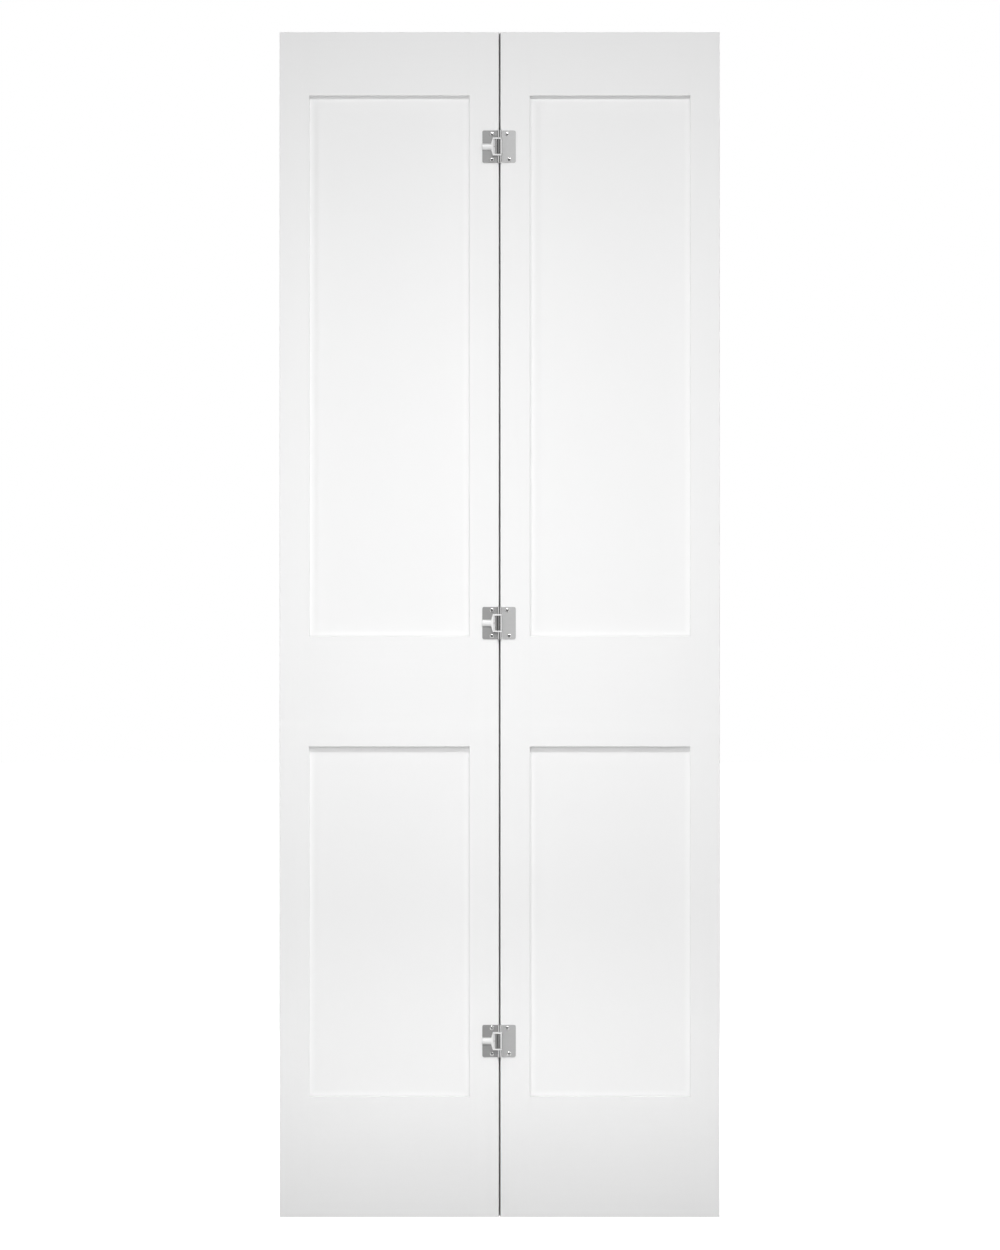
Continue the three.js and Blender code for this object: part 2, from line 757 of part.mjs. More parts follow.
// The geometries that the three hinges share.
const hingeParts = {
  spring_plate: { geometry: springPlateGeometry(), material: satinNickel, at: [0, 0, 0] },
  cam_plate: { geometry: camPlateGeometry(), material: satinNickel, at: [0, 0, 0] },
  hinge_pin: { geometry: hingePinGeometry(), material: pinSteel, at: [0, -axisHeight, 0] },
  snap_yoke: { geometry: yokeGeometry(), material: whiteAcetal, at: [0, 0, 0] },
  follower_pin: {
    geometry: followerGeometry(),
    material: blackenedSteel,
    at: [-followerDistance, -axisHeight, 0],
  },
  spring: {
    geometry: springGeometry(),
    material: springSteel,
    at: [-tabDistance + springEndGap + springWireRadius, -springAxisHeight, 0],
  },
};
const screwShape = screwGeometry();

function makeHinge(level) {
  const group = new THREE.Group();
  for (const [name, { geometry, material, at }] of Object.entries(hingeParts)) {
    const mesh = named(`${level}_${name}`, geometry, material);
    mesh.position.set(...at);
    group.add(mesh);
  }
  for (const { leaf, level: end, x, z } of screwPlaces) {
    const screw = named(`${level}_hinge_${leaf}_${end}_screw`, screwShape, pinSteel);
    screw.position.set(x, 0, z);
    group.add(screw);
  }
  return group;
}

// The door

const door = new THREE.Group();

const pivotLeaf = makeLeaf("pivot_leaf", 1, true);
pivotLeaf.position.x = -pivotInset;
door.add(pivotLeaf);

const leadingLeaf = makeLeaf("leading_leaf", -1, false);
leadingLeaf.position.x = -pivotInset + leafWidth + leafGap;
door.add(leadingLeaf);

for (const [level, height] of Object.entries(hingeHeights)) {
  const hinge = makeHinge(level);
  hinge.position.set(-pivotInset + leafWidth + leafGap / 2, -faceY - contactGap, height);
  door.add(hinge);
}

export default door;
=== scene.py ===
"""A primed two-leaf bifold closet door with three sprung surface hinges, seen closed from the hinge side.

Lengths are metres unless a name ends in MM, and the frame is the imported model's own.
"""

import math

import bmesh
import bpy
from mathutils import Matrix, Vector


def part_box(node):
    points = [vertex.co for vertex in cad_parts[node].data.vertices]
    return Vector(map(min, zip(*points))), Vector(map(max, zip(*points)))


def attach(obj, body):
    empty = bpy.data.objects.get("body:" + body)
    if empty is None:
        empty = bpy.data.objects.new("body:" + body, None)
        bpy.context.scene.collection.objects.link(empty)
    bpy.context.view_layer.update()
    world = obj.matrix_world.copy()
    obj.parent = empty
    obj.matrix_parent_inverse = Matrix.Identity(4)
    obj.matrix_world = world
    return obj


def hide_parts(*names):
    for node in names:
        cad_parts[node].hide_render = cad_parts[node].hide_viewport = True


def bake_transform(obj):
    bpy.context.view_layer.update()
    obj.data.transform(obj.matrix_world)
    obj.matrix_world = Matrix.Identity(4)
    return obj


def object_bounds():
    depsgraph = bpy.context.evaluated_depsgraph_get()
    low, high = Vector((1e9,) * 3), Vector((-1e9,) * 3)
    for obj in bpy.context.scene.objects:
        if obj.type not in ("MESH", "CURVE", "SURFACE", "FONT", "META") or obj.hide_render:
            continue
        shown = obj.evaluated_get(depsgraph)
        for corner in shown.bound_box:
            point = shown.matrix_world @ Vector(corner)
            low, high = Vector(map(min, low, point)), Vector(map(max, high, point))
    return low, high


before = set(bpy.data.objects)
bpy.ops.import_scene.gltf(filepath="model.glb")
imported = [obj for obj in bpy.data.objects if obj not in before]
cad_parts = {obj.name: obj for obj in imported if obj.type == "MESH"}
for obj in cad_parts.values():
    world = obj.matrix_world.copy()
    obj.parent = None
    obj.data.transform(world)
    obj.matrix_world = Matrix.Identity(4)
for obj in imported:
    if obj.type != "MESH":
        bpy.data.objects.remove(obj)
cad_box = [list(corner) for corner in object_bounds()]


# Stiles and rails
# Clear pine lengths, planed to 35 mm, with their edges eased by hand. The rails are glued into the stiles and
# the whole leaf is sprayed with one coat of white primer, so the glue lines hardly show.

LEAVES = ("pivot_leaf", "leading_leaf")
STILES = ("outer_stile", "hinge_stile")
RAILS = ("bottom_rail", "lock_rail", "top_rail")
WELD = 2e-6
FLAT_ANGLE = math.radians(0.4)
SMOOTH_ANGLE = math.radians(35)
LARGE_FACES_LEAD = 100


def merged_from(node):
    """A mesh of the node's surface, with shared corners and whole flat faces."""
    mesh = bpy.data.meshes.new(node)
    shape = bmesh.new()
    shape.from_mesh(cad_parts[node].data)
    bmesh.ops.remove_doubles(shape, verts=shape.verts, dist=WELD)
    bmesh.ops.dissolve_limit(shape, angle_limit=FLAT_ANGLE, verts=shape.verts, edges=shape.edges)
    shape.to_mesh(mesh)
    shape.free()
    return mesh


def put_in_scene(name, data):
    """A new object at the origin, in the scene."""
    thing = bpy.data.objects.new(name, data)
    bpy.context.scene.collection.objects.link(thing)
    return thing


def add_piece(name, mesh, material, body, nodes):
    """Puts a finished mesh in the scene, in place of the CAD nodes."""
    mesh.materials.clear()
    mesh.materials.append(material)
    piece = put_in_scene(name, mesh)
    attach(piece, body)
    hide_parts(*nodes)
    return piece


def mark_edges(mesh, wanted):
    """Sets the bevel weight of each edge that wanted(edge) picks."""
    shape = bmesh.new()
    shape.from_mesh(mesh)
    weights = [float(wanted(edge)) for edge in shape.edges]
    shape.free()
    mesh.attributes.new("bevel_weight_edge", "FLOAT", "EDGE").data.foreach_set("value", weights)


def ease_marked_edges(piece, width, segments):
    """Rounds the edges whose bevel weight is set, and shades the piece smooth between its real corners."""
    piece.data.shade_smooth()
    piece.data.set_sharp_from_angle(angle=SMOOTH_ANGLE)
    bevel = piece.modifiers.new("ease", "BEVEL")
    bevel.limit_method = "WEIGHT"
    bevel.width = width
    bevel.segments = segments
    bevel.use_clamp_overlap = True
    bevel.miter_outer = "MITER_ARC"
    level = piece.modifiers.new("level faces", "WEIGHTED_NORMAL")
    level.mode = "FACE_AREA"
    level.weight = LARGE_FACES_LEAD
    level.keep_sharp = True


def set_inputs(tree, node, inputs):
    """Sets a node's inputs, by name or number. Where a socket is given, it is linked."""
    for key, value in inputs.items():
        if isinstance(value, bpy.types.NodeSocket):
            tree.links.new(value, node.inputs[key])
        else:
            node.inputs[key].default_value = value


def add_node(tree, kind, inputs=None, **settings):
    """Adds a node with its settings, then with its inputs."""
    node = tree.nodes.new(kind)
    for name, value in settings.items():
        setattr(node, name, value)
    set_inputs(tree, node, inputs or {})
    return node


def node_group(name, inputs, outputs, kind="ShaderNodeTree"):
    """A new node group, and the sockets of its inputs. Each socket is given as its name and type."""
    group = bpy.data.node_groups.new(name, kind)
    for in_out, sockets in (("INPUT", inputs), ("OUTPUT", outputs)):
        for socket_name, socket_type in sockets.items():
            group.interface.new_socket(socket_name, in_out=in_out, socket_type=f"NodeSocket{socket_type}")
    return group, add_node(group, "NodeGroupInput").outputs


def noise(tree, place, scale, detail, roughness=0.5):
    inputs = {"Vector": place, "Scale": scale, "Detail": detail, "Roughness": roughness}
    return add_node(tree, "ShaderNodeTexNoise", inputs).outputs["Fac"]


def calculate(tree, operation, *values, **settings):
    inputs = dict(enumerate(values))
    return add_node(tree, "ShaderNodeMath", inputs, operation=operation, **settings).outputs["Value"]


def mixed(tree, share, low, high, data_type="FLOAT"):
    """Goes from low to high as share goes from 0 to 1. The data type is RGBA for colours."""
    inputs = {"Factor": share, "A": low, "B": high}
    return add_node(tree, "ShaderNodeMix", inputs, data_type=data_type).outputs["Result"]


def ranged(tree, value, span, to_span=(0.0, 1.0), **settings):
    """Maps a value from one span to another, and holds it at the ends."""
    ends = ("From Min", "From Max", "To Min", "To Max")
    inputs = {"Value": value} | dict(zip(ends, (*span, *to_span)))
    return add_node(tree, "ShaderNodeMapRange", inputs, **settings).outputs["Result"]


def grey(level):
    return (level, level, level, 1)


# Nearly all of a noise pattern lies between these values.
NOISE_SPAN = (0.3, 0.7)


def primer_film_group():
    """A sprayed coat with a fine orange peel, thinner over raised grain, and whitened by painted bounce
    light.
    """
    group, given = node_group(
        "primer_film",
        {
            "Position": "Vector",
            "Grain Position": "Vector",
            "Full Coat": "Color",
            "Thin Coat": "Color",
            "Pooled Coat": "Color",
            "Pooling": "Float",
            "Grain Amount": "Float",
            "Peel Scale": "Float",
            "Smoothest": "Float",
            "Roughest": "Float",
        },
        {"Colour": "Color", "Roughness": "Float", "Height": "Float"},
    )
    cloud_share, peel_share = 0.35, 0.4
    grain = noise(group, given["Grain Position"], scale=1.0, detail=6.0, roughness=0.6)
    cloud = noise(group, given["Position"], scale=5.0, detail=2.0)
    peel = noise(group, given["Position"], scale=given["Peel Scale"], detail=3.0)
    raised = calculate(group, "MULTIPLY", grain, given["Grain Amount"])
    thinness = calculate(group, "MULTIPLY_ADD", cloud, cloud_share, raised)
    coat = mixed(group, thinness, given["Full Coat"], given["Thin Coat"], "RGBA")
    results = {
        "Colour": mixed(group, given["Pooling"], coat, given["Pooled Coat"], "RGBA"),
        "Roughness": ranged(group, cloud, NOISE_SPAN, (given["Smoothest"], given["Roughest"])),
        "Height": calculate(group, "MULTIPLY_ADD", peel, peel_share, raised),
    }
    add_node(group, "NodeGroupOutput", results)
    return group


primer_film = primer_film_group()
PRIMER = {
    "Full Coat": grey(0.83),
    "Thin Coat": grey(0.8),
    "Peel Scale": 420.0,
    "Smoothest": 0.48,
    "Roughest": 0.6,
}
PRIMER_SPECULAR = 0.4
PEEL_DEPTH = 0.00012
PEEL_STRENGTH = 0.35
ACROSS_GRAIN = 260.0
ALONG_GRAIN = 7.0
WOOD_GRAIN = 0.5


def surface_material(name):
    """A new material, its node tree, its Principled shader and the piece's own coordinates."""
    material = bpy.data.materials.new(name)
    material.use_nodes = True
    tree = material.node_tree
    place = add_node(tree, "ShaderNodeTexCoord").outputs["Object"]
    return material, tree, tree.nodes["Principled BSDF"], place


def finish_with_group(tree, shader, place, group, stretch, values, bump_depth, bump_strength):
    """Places a finish group in a material, with its grain stretched, and wires its results to the shader."""
    grain_place = add_node(tree, "ShaderNodeMapping", {"Vector": place, "Scale": stretch}).outputs["Vector"]
    inputs = {"Position": place, "Grain Position": grain_place} | values
    finish = add_node(tree, "ShaderNodeGroup", inputs, node_tree=group).outputs
    relief = {"Height": finish["Height"], "Distance": bump_depth, "Strength": bump_strength}
    normal = add_node(tree, "ShaderNodeBump", relief).outputs["Normal"]
    results = {"Base Color": finish["Colour"], "Roughness": finish["Roughness"], "Normal": normal}
    set_inputs(tree, shader, results)
    return finish


def prime(tree, shader, place, stretch, values):
    """Finishes a material as sprayed primer."""
    shader.inputs["Specular IOR Level"].default_value = PRIMER_SPECULAR
    finish_with_group(tree, shader, place, primer_film, stretch, PRIMER | values, PEEL_DEPTH, PEEL_STRENGTH)


def primed_pine(name, stretch):
    material, tree, shader, place = surface_material(name)
    prime(tree, shader, place, stretch, {"Grain Amount": WOOD_GRAIN})
    return material


primed_stile = primed_pine("primed_stile", (ACROSS_GRAIN, ACROSS_GRAIN, ALONG_GRAIN))
primed_rail = primed_pine("primed_rail", (ALONG_GRAIN, ACROSS_GRAIN, ACROSS_GRAIN))

foot, head = cad_box[0][2], cad_box[1][2]
face_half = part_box("pivot_leaf_top_rail")[1].y
joint_x = (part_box("pivot_leaf_hinge_stile")[1].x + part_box("leading_leaf_hinge_stile")[0].x) / 2
SAME_PLANE = 1e-5
CHAMFER_ANGLES = (math.radians(30), math.radians(60))
EASE_WIDTH = 0.00035
JOINT_REACH = 0.003
LIP_LEAN = 0.000164


def is_chamfer(edge):
    return len(edge.link_faces) == 2 and CHAMFER_ANGLES[0] < edge.calc_face_angle() < CHAMFER_ANGLES[1]


def is_outer_end(edge):
    """A long edge round the door's foot or top, where a face meets the end grain."""
    low, high = (vert.co for vert in edge.verts)
    level = abs(low.z - high.z) < SAME_PLANE
    at_end = min(abs(low.z - foot), abs(low.z - head)) < SAME_PLANE
    along_face = abs(low.y - high.y) < SAME_PLANE and abs(low.x - high.x) > SAME_PLANE
    on_face = abs(abs(low.y) - face_half) < SAME_PLANE
    return level and at_end and along_face and on_face


def close_joint(mesh):
    """Leans a meeting edge out until its lip all but touches the other leaf's, so no light comes through."""
    for vert in mesh.vertices:
        offset = vert.co.x - joint_x
        if abs(offset) < JOINT_REACH:
            share = (vert.co.y + face_half) / (2 * face_half)
            vert.co.x -= math.copysign(LIP_LEAN * share, offset)


for leaf in LEAVES:
    for member in STILES + RAILS:
        node = f"{leaf}_{member}"
        mesh = merged_from(node)
        if member == "hinge_stile":
            close_joint(mesh)
        mark_edges(mesh, lambda edge: is_chamfer(edge) or is_outer_end(edge))
        grain = primed_stile if member in STILES else primed_rail
        piece = add_piece(f"{node}_primed", mesh, grain, leaf, [node])
        ease_marked_edges(piece, EASE_WIDTH, segments=3)


# Panels
# Flat fibreboard, 12.5 mm thick, slid into the grooves before the last stile goes on and left unglued. It is
# smoother than the pine, so its primer shows hardly any grain. Near the opening's edges its primer is painted
# whiter: painted bounce light from the opening's lit walls.

BOARD_GRAIN = 0.12
# Painted bounce light: the primer is painted whiter near the opening's edges, where the lit walls throw
# light.
PAINTED_BOUNCE_COAT = grey(0.865)
PAINTED_BOUNCE_WIDTH = 0.011
TONGUE_DEPTH = 0.011


def vector_result(tree, operation, *values, output="Vector"):
    inputs = dict(enumerate(values))
    return add_node(tree, "ShaderNodeVectorMath", inputs, operation=operation).outputs[output]


def painted_bounce_group():
    """Mask of the painted bounce light: full at the opening's edge, and nothing from the given width on."""
    group, given = node_group(
        "primer_pool",
        {"Position": "Vector", "Centre": "Vector", "Half Size": "Vector", "Width": "Float"},
        {"Mask": "Float"},
    )
    from_centre = vector_result(group, "SUBTRACT", given["Position"], given["Centre"])
    distance = vector_result(group, "ABSOLUTE", from_centre)
    inset = vector_result(group, "SUBTRACT", given["Half Size"], distance)
    sides = add_node(group, "ShaderNodeSeparateXYZ", {"Vector": inset}).outputs
    nearest = calculate(group, "MINIMUM", sides["X"], sides["Z"])
    add_node(group, "NodeGroupOutput", {"Mask": ranged(group, nearest, (given["Width"], 0.0))})
    return group


primer_pool = painted_bounce_group()


def primed_board(name, low, high):
    """Primer on the panel between the corners low and high, whose tongues are hidden in the grooves."""
    material, tree, shader, place = surface_material(name)
    opening = {
        "Position": place,
        "Centre": (low + high) / 2,
        "Half Size": (high - low) / 2 - Vector((TONGUE_DEPTH, 0, TONGUE_DEPTH)),
        "Width": PAINTED_BOUNCE_WIDTH,
    }
    # Painted bounce light along the opening's edges.
    painted_bounce_mask = add_node(tree, "ShaderNodeGroup", opening, node_tree=primer_pool)
    values = {"Grain Amount": BOARD_GRAIN, "Pooled Coat": PAINTED_BOUNCE_COAT, "Pooling": painted_bounce_mask.outputs["Mask"]}
    prime(tree, shader, place, (ALONG_GRAIN, ALONG_GRAIN, ALONG_GRAIN), values)
    return material


for leaf in LEAVES:
    for member in ("lower_panel", "upper_panel"):
        node = f"{leaf}_{member}"
        mesh = merged_from(node)
        mark_edges(mesh, lambda edge: True)
        board = primed_board(f"primed_{node}", *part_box(node))
        piece = add_piece(f"{node}_primed", mesh, board, leaf, [node])
        ease_marked_edges(piece, EASE_WIDTH, segments=2)


# Hinge plates
# Steel strip 1.6 mm thick, blanked, punched and rolled round a mandrel to make the knuckles, then barrel
# plated with satin nickel. Two plates to a hinge, each screwed flat on its leaf.

HINGES = ("bottom", "middle", "top")
# Painted shade: beside the axis, one flank of a knuckle is painted darker and made rougher, where the yoke's
# window shades it.
FLANK_SHADE_EDGE = 0.0005
FLANK_SHADE_FADE = 0.0015
ROLLED_ROUGHNESS = 0.13
SHADED_FLANK_ROUGHNESS = 0.3
LINE_DEPTH = 0.00001
LINE_STRENGTH = 0.3


def rolled_steel_group():
    """Plated strip with faint drawn lines. Near the hinge's axis it is burnished, with one flank painted
    darker as painted shade.
    """
    group, given = node_group(
        "rolled_steel",
        {
            "Position": "Vector",
            "Grain Position": "Vector",
            "Bright": "Color",
            "Dull": "Color",
            "Smoothest": "Float",
            "Roughest": "Float",
            "Axis": "Vector",
            "Rolled Radius": "Float",
            "Rolled": "Color",
            "Oiled": "Color",
            "Oil": "Float",
            "Flat Metallic": "Float",
        },
        {"Colour": "Color", "Roughness": "Float", "Height": "Float", "Metallic": "Float"},
    )
    cloud_share = 0.5
    lines = noise(group, given["Grain Position"], scale=1.0, detail=4.0)
    cloud = noise(group, given["Position"], scale=160.0, detail=2.0)
    wear = mixed(group, cloud_share, lines, cloud)
    flat_colour = mixed(group, wear, given["Bright"], given["Dull"], "RGBA")
    flat_roughness = ranged(group, wear, NOISE_SPAN, (given["Smoothest"], given["Roughest"]))

    plan = vector_result(group, "MULTIPLY", given["Position"], (1.0, 1.0, 0.0))
    from_axis = vector_result(group, "SUBTRACT", plan, given["Axis"])
    reach = vector_result(group, "LENGTH", from_axis, output="Value")
    rolled = calculate(group, "LESS_THAN", reach, given["Rolled Radius"])
    offset = add_node(group, "ShaderNodeSeparateXYZ", {"Vector": from_axis}).outputs["X"]
    # Painted shade on the knuckle's flank that faces the yoke.
    flank_shade = ranged(group, offset, (FLANK_SHADE_EDGE, FLANK_SHADE_EDGE - FLANK_SHADE_FADE), (0.0, given["Oil"]))
    rolled_colour = mixed(group, flank_shade, given["Rolled"], given["Oiled"], "RGBA")
    rolled_roughness = mixed(group, flank_shade, ROLLED_ROUGHNESS, SHADED_FLANK_ROUGHNESS)
    results = {
        "Colour": mixed(group, rolled, flat_colour, rolled_colour, "RGBA"),
        "Roughness": mixed(group, rolled, flat_roughness, rolled_roughness),
        "Height": lines,
        "Metallic": mixed(group, rolled, given["Flat Metallic"], 1.0),
    }
    add_node(group, "NodeGroupOutput", results)
    return group


rolled_steel = rolled_steel_group()
DRAWN_LINES = (300.0, 300.0, 3000.0)


def steel(name, bright, dull, smoothest, roughest, stretch=DRAWN_LINES, barrel=None):
    """A steel. On a plate, barrel gives the rolled knuckles' place and look, and how metallic the flat is."""
    material, tree, shader, place = surface_material(name)
    values = {"Bright": grey(bright), "Dull": grey(dull), "Smoothest": smoothest, "Roughest": roughest}
    values |= barrel or {}
    finish = finish_with_group(tree, shader, place, rolled_steel, stretch, values, LINE_DEPTH, LINE_STRENGTH)
    set_inputs(tree, shader, {"Metallic": finish["Metallic"] if barrel else 1.0})
    return material


axis_low, axis_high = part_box("top_hinge_pin")
hinge_axis = (axis_low + axis_high) / 2
knuckles = {
    "Axis": (hinge_axis.x, hinge_axis.y, 0),
    "Rolled Radius": 0.0047,
    "Flat Metallic": 0.42,
    # Painted shade for the cam knuckle's flank inside the yoke's window.
    "Oiled": grey(0.24),
}
# One nickel plating in two copies: the spring plate's is painted darker and the cam plate's lighter, as
# painted shade and painted light for the different light the two plates catch.
dull_nickel = steel(
    "dull_nickel",
    bright=0.34,
    dull=0.3,
    smoothest=0.42,
    roughest=0.54,
    barrel=knuckles | {"Rolled": grey(0.6), "Oil": 0.0},
)
satin_nickel = steel(
    "satin_nickel",
    bright=0.52,
    dull=0.46,
    smoothest=0.4,
    roughest=0.52,
    barrel=knuckles | {"Rolled": grey(0.72), "Oil": 1.0},
)
PLATE_EASE = 0.00012
PLATE_EASE_ANGLE = math.radians(50)


def is_corner(edge):
    return len(edge.link_faces) == 2 and edge.calc_face_angle() > PLATE_EASE_ANGLE


for hinge in HINGES:
    for plate, leaf, plating in (
        ("spring_plate", "pivot_leaf", dull_nickel),
        ("cam_plate", "leading_leaf", satin_nickel),
    ):
        node = f"{hinge}_{plate}"
        mesh = merged_from(node)
        mark_edges(mesh, is_corner)
        piece = add_piece(f"{node}_plated", mesh, plating, leaf, [node])
        ease_marked_edges(piece, PLATE_EASE, segments=2)


# Hinge pins and follower pins
# Turned steel rods. A hinge pin has a low domed head at the top and is pushed down through all the knuckles;
# the dark follower pin lies between the arms of the yoke and bears on the cam.

TURNED_SIDES = 48
PIN_RADIUS = 0.00175
PIN_HEAD_RADIUS = 0.0026
PIN_HEAD_RIM = 0.0003
PIN_HEAD_RISE = 0.00045
PIN_CHAMFER = 0.0003
FOLLOWER_CHAMFER = 0.0002
pin_steel = steel("bright_pin_steel", bright=0.62, dull=0.55, smoothest=0.2, roughest=0.3)
dark_steel = steel("oiled_dark_steel", bright=0.5, dull=0.43, smoothest=0.3, roughest=0.45)


def turned(name, profile, centre):
    """A solid of revolution about an upright axis through centre. The profile is (radius, height) pairs."""
    shape = bmesh.new()
    verts = [shape.verts.new((radius, 0, height)) for radius, height in profile]
    edges = [shape.edges.new(pair) for pair in zip(verts, verts[1:])]
    bmesh.ops.spin(
        shape,
        geom=verts + edges,
        cent=(0, 0, 0),
        axis=(0, 0, 1),
        angle=2 * math.pi,
        steps=TURNED_SIDES,
        use_merge=True,
    )
    bmesh.ops.remove_doubles(shape, verts=shape.verts, dist=WELD)
    bmesh.ops.recalc_face_normals(shape, faces=shape.faces)
    bmesh.ops.translate(shape, verts=shape.verts, vec=centre)
    mesh = bpy.data.meshes.new(name)
    shape.to_mesh(mesh)
    shape.free()
    mesh.shade_smooth()
    mesh.set_sharp_from_angle(angle=SMOOTH_ANGLE)
    return mesh


def dome(radius, rise, base, steps):
    """Profile points of a low dome, from its rim at height base to its crown on the axis."""
    angles = [math.pi / 2 * i / steps for i in range(steps + 1)]
    return [(radius * math.cos(angle), base + rise * math.sin(angle)) for angle in angles]


for hinge in HINGES:
    low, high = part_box(f"{hinge}_hinge_pin")
    centre = (low + high) / 2
    under_head = high.z - PIN_HEAD_RIM - PIN_HEAD_RISE
    profile = [(0, low.z), (PIN_RADIUS - PIN_CHAMFER, low.z), (PIN_RADIUS, low.z + PIN_CHAMFER)]
    profile += [(PIN_RADIUS, under_head), (PIN_HEAD_RADIUS, under_head)]
    profile += dome(PIN_HEAD_RADIUS, PIN_HEAD_RISE, under_head + PIN_HEAD_RIM, steps=6)
    mesh = turned(f"{hinge}_hinge_pin_turned", profile, (centre.x, centre.y, 0))
    add_piece(mesh.name, mesh, pin_steel, "pivot_leaf", [f"{hinge}_hinge_pin"])

    low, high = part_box(f"{hinge}_follower_pin")
    centre = (low + high) / 2
    radius = (high.x - low.x) / 2
    profile = [(0, low.z), (radius - FOLLOWER_CHAMFER, low.z), (radius, low.z + FOLLOWER_CHAMFER)]
    profile += [(radius, high.z - FOLLOWER_CHAMFER), (radius - FOLLOWER_CHAMFER, high.z), (0, high.z)]
    mesh = turned(f"{hinge}_follower_pin_turned", profile, (centre.x, centre.y, 0))
    add_piece(mesh.name, mesh, dark_steel, f"{hinge}_yoke", [f"{hinge}_follower_pin"])


# Coil springs
# Drawn steel wire wound to seven open curls. Each lies in the hollow stem of its yoke, between the tab bent
# up from the plate and the stem's blind end.

WIRE_RADIUS = 0.00035
SPRING_TURNS = 7.0
STEPS_PER_TURN = 32
WIRE_SIDES = 10
spring_wire = steel("drawn_spring_wire", bright=0.5, dull=0.42, smoothest=0.22, roughest=0.35)


def end_tree(group, geometry, material):
    """Ends a Geometry Nodes tree: makes its instances real and gives them their material."""
    real = add_node(group, "GeometryNodeRealizeInstances", {"Geometry": geometry}).outputs["Geometry"]
    painted = add_node(group, "GeometryNodeSetMaterial", {"Geometry": real, "Material": material})
    add_node(group, "NodeGroupOutput", {"Geometry": painted.outputs["Geometry"]})


def coil_spring_group():
    """A coil of round wire with capped ends, which rises from the origin along Z."""
    group, given = node_group(
        "coil_spring",
        {
            "Wire Radius": "Float",
            "Coil Radius": "Float",
            "Length": "Float",
            "Turns": "Float",
            "Material": "Material",
        },
        {"Geometry": "Geometry"},
        "GeometryNodeTree",
    )
    helix = {
        "Resolution": STEPS_PER_TURN,
        "Rotations": given["Turns"],
        "Start Radius": given["Coil Radius"],
        "End Radius": given["Coil Radius"],
        "Height": given["Length"],
    }
    section = {"Resolution": WIRE_SIDES, "Radius": given["Wire Radius"]}
    sweep = {
        "Curve": add_node(group, "GeometryNodeCurveSpiral", helix).outputs["Curve"],
        "Profile Curve": add_node(group, "GeometryNodeCurvePrimitiveCircle", section).outputs["Curve"],
        "Fill Caps": True,
    }
    wire = add_node(group, "GeometryNodeCurveToMesh", sweep).outputs["Mesh"]
    smooth = add_node(group, "GeometryNodeSetShadeSmooth", {"Geometry": wire}).outputs["Geometry"]
    end_tree(group, smooth, given["Material"])
    return group


def baked(name, group, values, mesh=None):
    """Runs a Geometry Nodes tree with its named inputs set, and returns the result as a plain mesh."""
    carrier = put_in_scene(name, mesh or bpy.data.meshes.new(name))
    modifier = carrier.modifiers.new("nodes", "NODES")
    modifier.node_group = group
    for item in group.interface.items_tree:
        if item.in_out == "INPUT" and item.name in values:
            modifier[item.identifier] = values[item.name]
    result = bpy.data.meshes.new_from_object(carrier.evaluated_get(bpy.context.evaluated_depsgraph_get()))
    result.name = name
    carrier.modifiers.clear()
    bpy.data.objects.remove(carrier)
    return result


coil_spring = coil_spring_group()

for hinge in HINGES:
    low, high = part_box(f"{hinge}_spring")
    centre = (low + high) / 2
    values = {
        "Wire Radius": WIRE_RADIUS,
        "Coil Radius": (high.z - low.z) / 2 - WIRE_RADIUS,
        "Length": high.x - low.x - 2 * WIRE_RADIUS,
        "Turns": SPRING_TURNS,
        "Material": spring_wire,
    }
    mesh = baked(f"{hinge}_spring_wound", coil_spring, values)
    mesh.transform(Matrix.Rotation(math.pi / 2, 4, "Y"))
    mesh.transform(Matrix.Translation((low.x + WIRE_RADIUS, centre.y, centre.z)))
    piece = put_in_scene(mesh.name, mesh)
    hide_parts(f"{hinge}_spring")
    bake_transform(piece)


# Snap yokes
# One white acetal moulding each: a half-round hollow stem, a T head with a bevelled window edge, and two arms
# whose eyes hook round the hinge pin. It slides on the plate, and its edges have a small moulded radius.

ACETAL_SKIN = {
    "Full Coat": grey(0.77),
    "Thin Coat": grey(0.75),
    "Grain Amount": 0.3,
    "Peel Scale": 1500.0,
    "Smoothest": 0.28,
    "Roughest": 0.36,
}
ACETAL_BODY = {
    "Specular IOR Level": 0.6,
    "Subsurface Weight": 0.08,
    "Subsurface Radius": (0.0012, 0.0012, 0.0012),
}
MOULD_GRAIN = (900.0, 900.0, 900.0)
MOULD_DEPTH = 0.00002
MOULD_STRENGTH = 0.3
MOULD_RADIUS = 0.0002


def moulded_acetal(name):
    """Milky plastic. Its skin has the primer film's faint peel, only finer and smoother."""
    material, tree, shader, place = surface_material(name)
    set_inputs(tree, shader, ACETAL_BODY)
    finish_with_group(tree, shader, place, primer_film, MOULD_GRAIN, ACETAL_SKIN, MOULD_DEPTH, MOULD_STRENGTH)
    return material


white_acetal = moulded_acetal("white_acetal")

for hinge in HINGES:
    node = f"{hinge}_snap_yoke"
    mesh = merged_from(node)
    mark_edges(mesh, is_corner)
    piece = add_piece(f"{node}_moulded", mesh, white_acetal, f"{hinge}_yoke", [node])
    ease_marked_edges(piece, MOULD_RADIUS, segments=2)


# Hinge screws
# Twelve bright pan-head wood screws with cross recesses, driven through the plates into the stiles. Each
# stops at its own angle, so the recesses don't line up.

SCREW_HEAD_RADIUS = 0.00375
SCREW_HEAD_RIM = 0.0005
SCREW_HEAD_RISE = 0.0014
SCREW_SHANK_RADIUS = 0.0018
SCREW_POINT = 0.005
RECESS_ARMS = 4
RECESS_REACH = 0.0021
RECESS_HALF_WIDTH = 0.00045
RECESS_DEPTH = 0.0012
RECESS_FLOOR_SHARE = 0.45
RECESS_MOUTH_SHARE = 1.4
FIRST_SEED = 4
screw_steel = steel(
    "bright_screw_steel",
    bright=0.7,
    dull=0.6,
    smoothest=0.13,
    roughest=0.22,
    stretch=(600.0, 600.0, 600.0),
)


